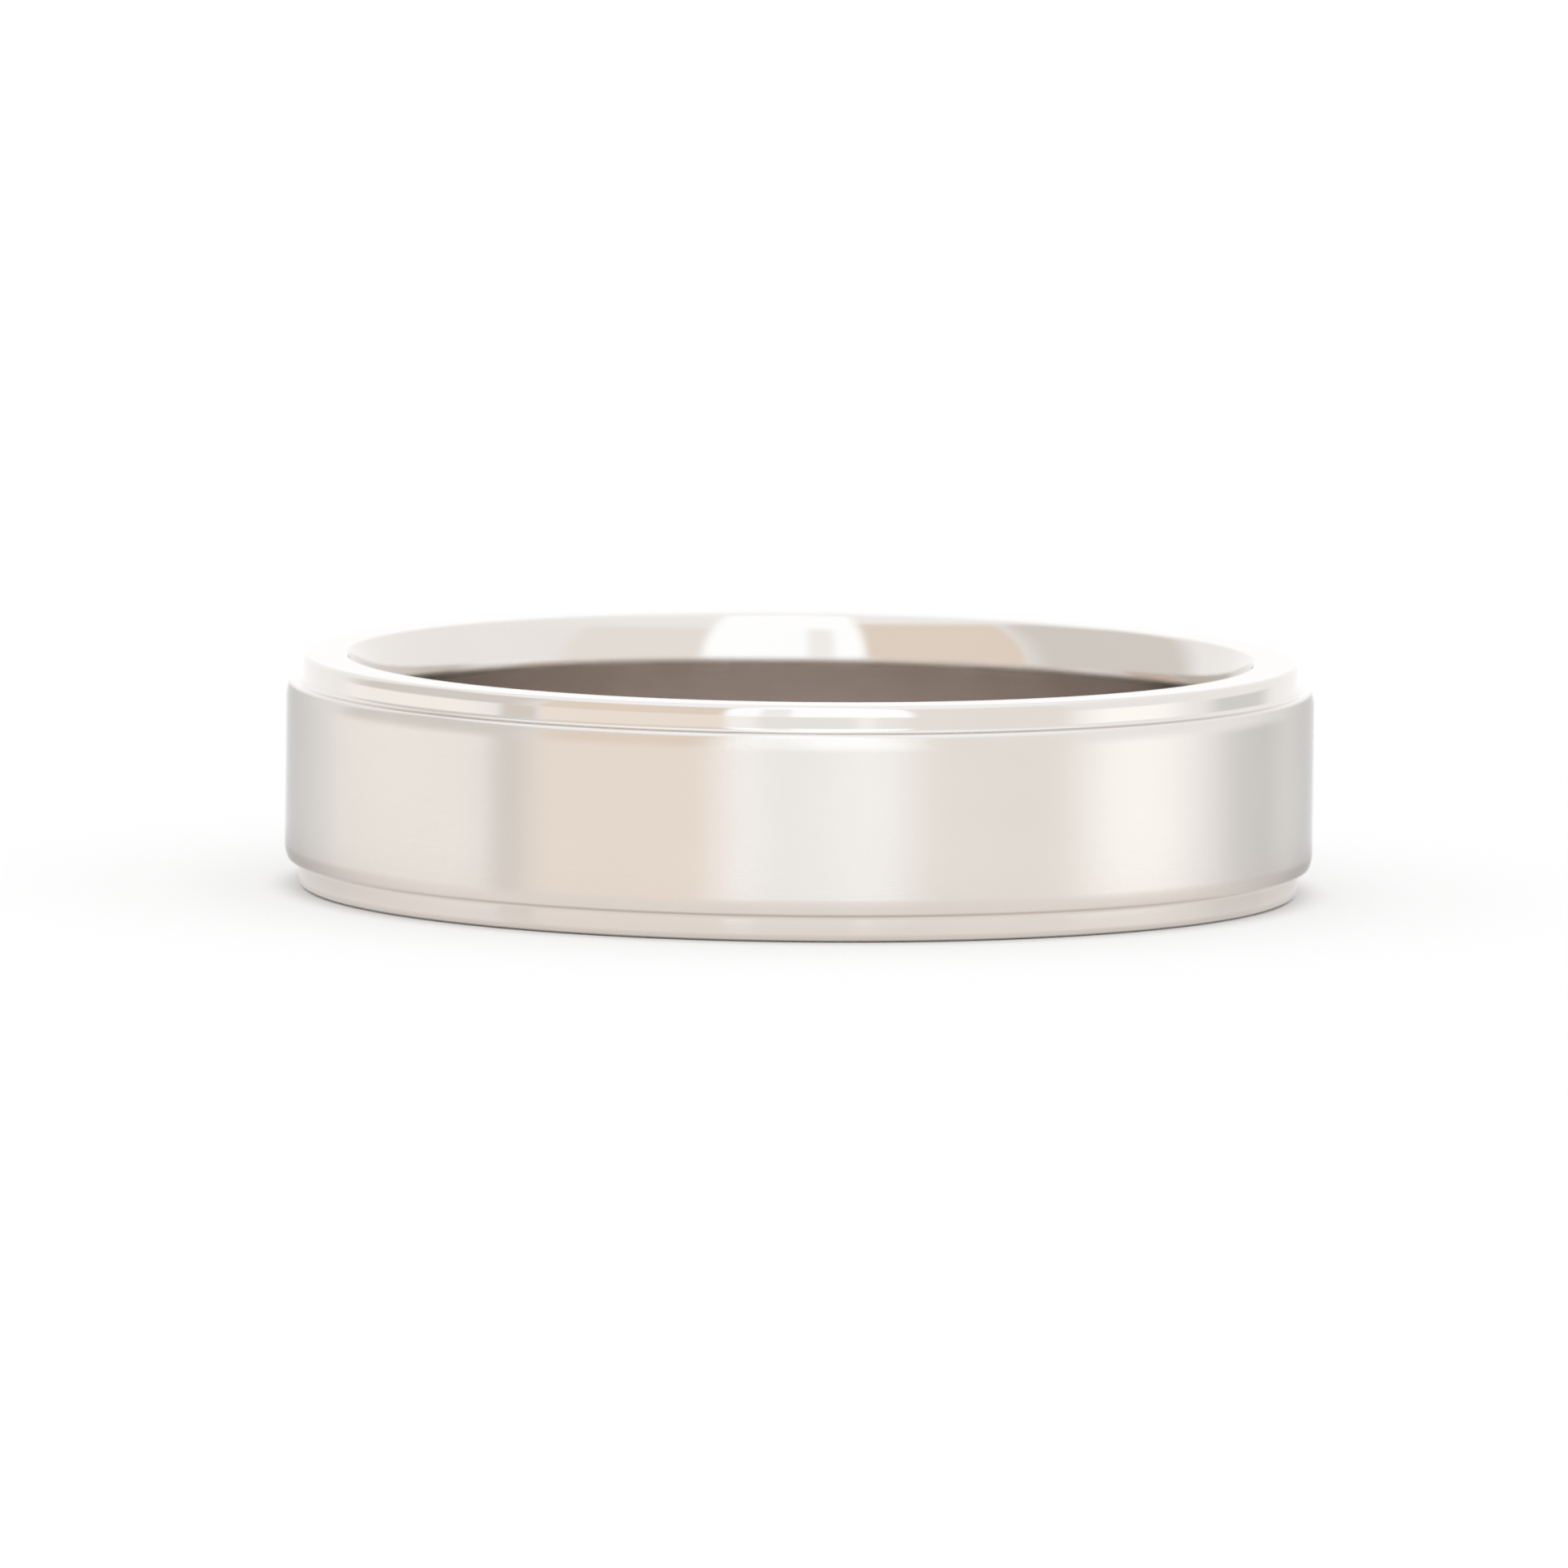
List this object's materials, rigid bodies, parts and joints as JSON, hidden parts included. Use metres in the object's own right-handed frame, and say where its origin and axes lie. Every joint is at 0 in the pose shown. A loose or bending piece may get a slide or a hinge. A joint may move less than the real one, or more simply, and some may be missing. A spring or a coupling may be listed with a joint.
{
  "type": "wedding band",
  "caption": "Flat stepped-edge wedding band: a satin raised centre band soldered on a full-width comfort-fit sleeve whose polished ends form two lower rims.",
  "frame": {"origin": "centre of the lower end face, on the axis of the bore", "axes": "+Z along the axis of the bore, so the band lies flat on its end; X and Y are free, because the band is round"},
  "size_m": [0.022, 0.022, 0.005],
  "materials": {
    "polished_metal": "mirror polish on a slightly warm white gold",
    "satin_metal": "fine satin on a slightly warm white gold"
  },
  "bodies": {
    "root": {"inner_sleeve": "polished_metal", "centre_band": "satin_metal"}
  },
  "joints": []
}
